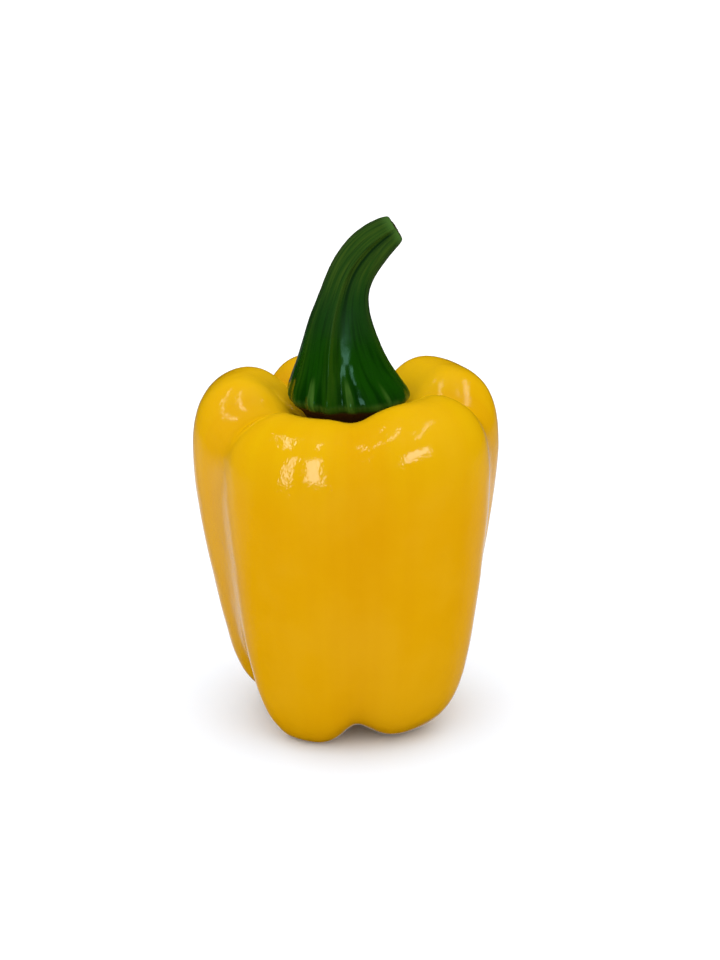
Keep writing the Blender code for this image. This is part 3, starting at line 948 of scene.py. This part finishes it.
def add_reflected_light(name, place, size, brightness, colour, piece_name):
    """A light that only the reflections on one piece see; its power follows from its brightness."""
    light = add_area_light(name, place, size, math.pi * size[0] * size[1] * brightness)
    light.data.color = colour
    light.visible_diffuse = False
    receivers = bpy.data.collections.get("reflect_on_" + piece_name)
    if receivers is None:
        receivers = bpy.data.collections.new("reflect_on_" + piece_name)
        receivers.objects.link(bpy.data.objects[piece_name])
    light.light_linking.receiver_collection = receivers
    return light


def add_window(window):
    azimuth, elevation = math.radians(window.azimuth), math.radians(window.elevation)
    level = math.cos(elevation)
    way = Vector((math.sin(azimuth) * level, -math.cos(azimuth) * level, math.sin(elevation)))
    spans = (window.width, window.height)
    size = [2 * WINDOW_DISTANCE * math.tan(math.radians(span) / 2) for span in spans]
    place = Vector(AIM) + WINDOW_DISTANCE * way
    light = add_reflected_light("window", place, size, window.brightness, window.colour, window.piece)
    aim(light, AIM)


def add_strip(strip):
    start, end = (Vector((*place, CEILING_HEIGHT)) for place in (strip.start, strip.end))
    size = (strip.width, (end - start).length)
    light = add_reflected_light(
        "strip", (start + end) / 2, size, strip.brightness, WARM_WHITE, FRUIT_NAME)
    light.rotation_euler.z = -math.atan2(end.x - start.x, end.y - start.y)


def add_camera(scene, settings):
    target = Vector(settings.look_at)
    back = Vector((0, -math.cos(settings.elevation), math.sin(settings.elevation)))
    bpy.ops.object.camera_add(location=target + settings.distance * back)
    camera = bpy.context.active_object
    aim(camera, target)
    camera.data.lens = settings.lens
    camera.data.clip_start = 0.01
    scene.camera = camera


class PEPPER_OT_fruit(bpy.types.Operator):
    """Add the lobed fruit, with its hollow at the top and its navel underneath"""
    bl_idname = "pepper.fruit"
    bl_label = "Add Fruit"
    bl_options = {"REGISTER", "UNDO"}

    def execute(self, context):
        settings = context.scene.pepper_fruit
        fruit = add_sphere(FRUIT_NAME, settings.columns, settings.rows, settings.radius)
        turn, rise = sphere_places(read_points(fruit.data))
        points, groove = fruit_surface(turn, rise, settings)
        write_points(fruit.data, centre_in_frame(points, "fruit"))
        store_mask(fruit.data, RISE, rise)
        store_mask(fruit.data, GROOVE_MASK, groove)
        store_grain(fruit.data, turn, rise)
        # the feet stay flat on the floor
        clear_of_floor = weigh_points(fruit, "clear_of_floor", points[:, 2] / FOOT_HEIGHT)
        press_in(fruit, "swell", SWELL_SIZE, settings.swell, clear_of_floor)
        press_in(fruit, "ripple", RIPPLE_SIZE, settings.ripple, clear_of_floor)
        scar = weigh_points(fruit, "scar", (SCAR_RISE - rise) / SCAR_RISE * 2)
        press_in(fruit, "cork", CORK_SIZE, CORK_DEPTH, scar)
        settle(fruit, "fruit", skin_finish(settings))
        return {"FINISHED"}


class PEPPER_OT_stem(bpy.types.Operator):
    """Add the bent, ribbed stalk with its calyx, resting in the hollow of the fruit"""
    bl_idname = "pepper.stem"
    bl_label = "Add Stem"
    bl_options = {"REGISTER", "UNDO"}

    def execute(self, context):
        fruit = bpy.data.objects.get(FRUIT_NAME)
        if fruit is None:
            raise RuntimeError("add the fruit first: the calyx rests on it")
        settings = context.scene.pepper_stem
        stem = add_sphere(STEM_NAME, settings.columns, settings.rows, settings.rim_height / 2)
        turn, rise = sphere_places(read_points(stem.data))
        points, olive, shade, flutes = stem_surface(turn, rise, settings)
        points = rest_on(points, fruit)
        write_points(stem.data, points)
        store_mask(stem.data, RISE, rise)
        store_mask(stem.data, OLIVE_MASK, olive)
        store_mask(stem.data, SHADE_MASK, shade)
        store_mask(stem.data, FLUTE_MASK, flutes)
        store_grain(stem.data, turn, rise)
        stalk = weigh_points(stem, "stalk", (rise - STALK_RISE) / STALK_FADE)
        press_in(stem, "bark", BARK_SIZE, BARK_DEPTH, stalk)
        cut = weigh_points(stem, "cut", (rise - CUT_RISE) / CUT_FADE)
        press_in(stem, "fibres", FIBRE_SIZE, FIBRE_DEPTH, cut)
        settle(stem, "stem", stem_finish(settings))
        return {"FINISHED"}


class PEPPER_OT_stage(bpy.types.Operator):
    """Add the pale floor, the white surround, the lights and the camera"""
    bl_idname = "pepper.stage"
    bl_label = "Add Stage"
    bl_options = {"REGISTER", "UNDO"}

    def execute(self, context):
        settings = context.scene.pepper_stage
        add_floor(settings)
        set_surround(context.scene, settings)
        add_overhead(settings)
        for window in WINDOWS:
            add_window(window)
        for strip in STRIPS:
            add_strip(strip)
        add_camera(context.scene, settings)
        context.scene.view_settings.view_transform = "Standard"
        return {"FINISHED"}


class PEPPER_PT_sidebar(bpy.types.Panel):
    """Lists the pieces and their settings"""
    bl_idname = "PEPPER_PT_sidebar"
    bl_label = "Bell Pepper"
    bl_space_type = "VIEW_3D"
    bl_region_type = "UI"
    bl_category = "Bell Pepper"

    def draw(self, context):
        for operator, settings in (("pepper.fruit", context.scene.pepper_fruit),
                                   ("pepper.stem", context.scene.pepper_stem),
                                   ("pepper.stage", context.scene.pepper_stage)):
            box = self.layout.box()
            box.operator(operator)
            for name in settings.__annotations__:
                box.prop(settings, name)


CLASSES = (FruitSettings, StemSettings, StageSettings, PEPPER_OT_fruit, PEPPER_OT_stem, PEPPER_OT_stage,
           PEPPER_PT_sidebar)


def register():
    for cls in CLASSES:
        bpy.utils.register_class(cls)
    bpy.types.Scene.pepper_fruit = PointerProperty(type=FruitSettings)
    bpy.types.Scene.pepper_stem = PointerProperty(type=StemSettings)
    bpy.types.Scene.pepper_stage = PointerProperty(type=StageSettings)


def unregister():
    del bpy.types.Scene.pepper_stage
    del bpy.types.Scene.pepper_stem
    del bpy.types.Scene.pepper_fruit
    for cls in reversed(CLASSES):
        bpy.utils.unregister_class(cls)


def main():
    register()
    bpy.ops.pepper.fruit()
    bpy.ops.pepper.stem()
    bpy.ops.pepper.stage()


if __name__ == "__main__":
    main()
